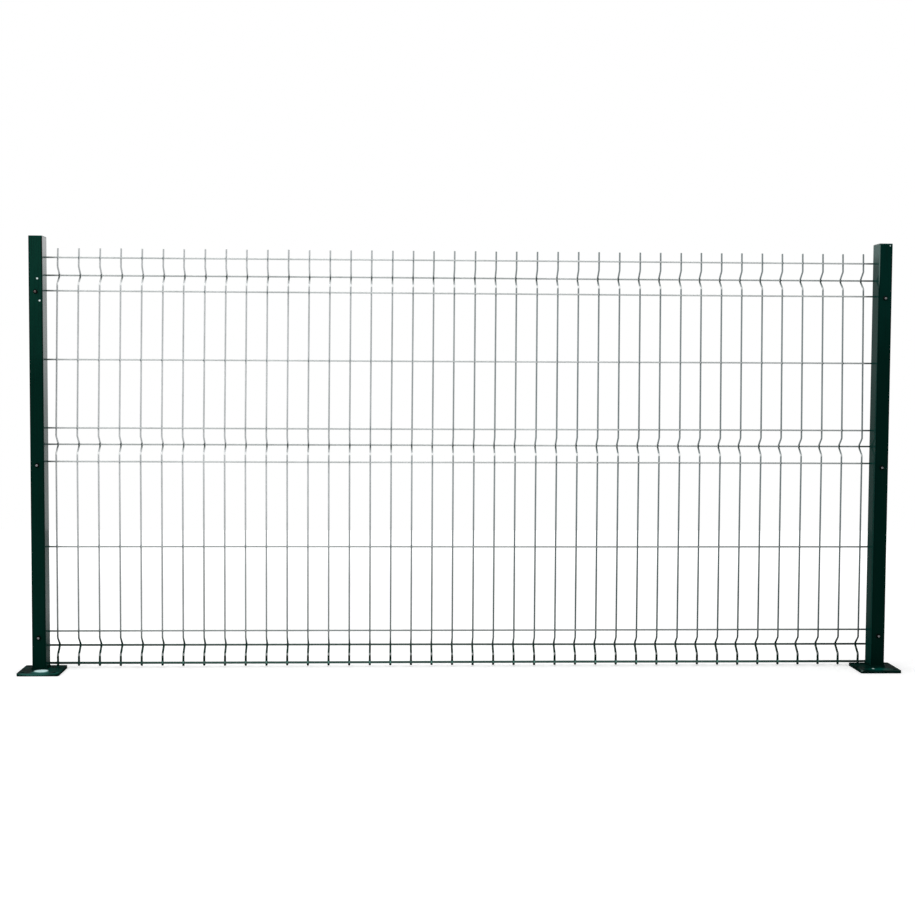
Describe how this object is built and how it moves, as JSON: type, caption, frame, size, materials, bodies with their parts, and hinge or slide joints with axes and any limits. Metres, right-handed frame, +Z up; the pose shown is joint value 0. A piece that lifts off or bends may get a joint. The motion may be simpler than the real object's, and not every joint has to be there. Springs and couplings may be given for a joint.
{
  "type": "welded mesh fence panel",
  "caption": "One bay of welded mesh fence: a folded wire panel clamped to two posts with bolt-down base plates.",
  "frame": {"origin": "underside of the left base plate, below the middle of the left post's front face", "axes": "+X along the fence to the right post, +Y towards the side that carries the mesh, +Z up"},
  "size_m": [2.575, 0.1728, 1.2625],
  "materials": {
    "mesh_wire": "gloss green coating on galvanised wire",
    "post_paint": "gloss dark green powder coat",
    "cap_plastic": "dark green moulded plastic",
    "clamp_paint": "dark green coated strip"
  },
  "bodies": {
    "root": {"mesh_section_1": "mesh_wire", "mesh_section_2": "mesh_wire", "mesh_section_3": "mesh_wire", "mesh_section_4": "mesh_wire", "mesh_section_5": "mesh_wire", "mesh_section_6": "mesh_wire", "left_post": "post_paint", "left_post_cap": "cap_plastic", "left_base_plate": "post_paint", "left_base_weld": "post_paint", "left_bottom_clamp": "clamp_paint", "left_middle_clamp": "clamp_paint", "left_top_clamp": "clamp_paint", "right_post": "post_paint", "right_post_cap": "cap_plastic", "right_base_plate": "post_paint", "right_base_weld": "post_paint", "right_bottom_clamp": "clamp_paint", "right_middle_clamp": "clamp_paint", "right_top_clamp": "clamp_paint"}
  },
  "joints": []
}
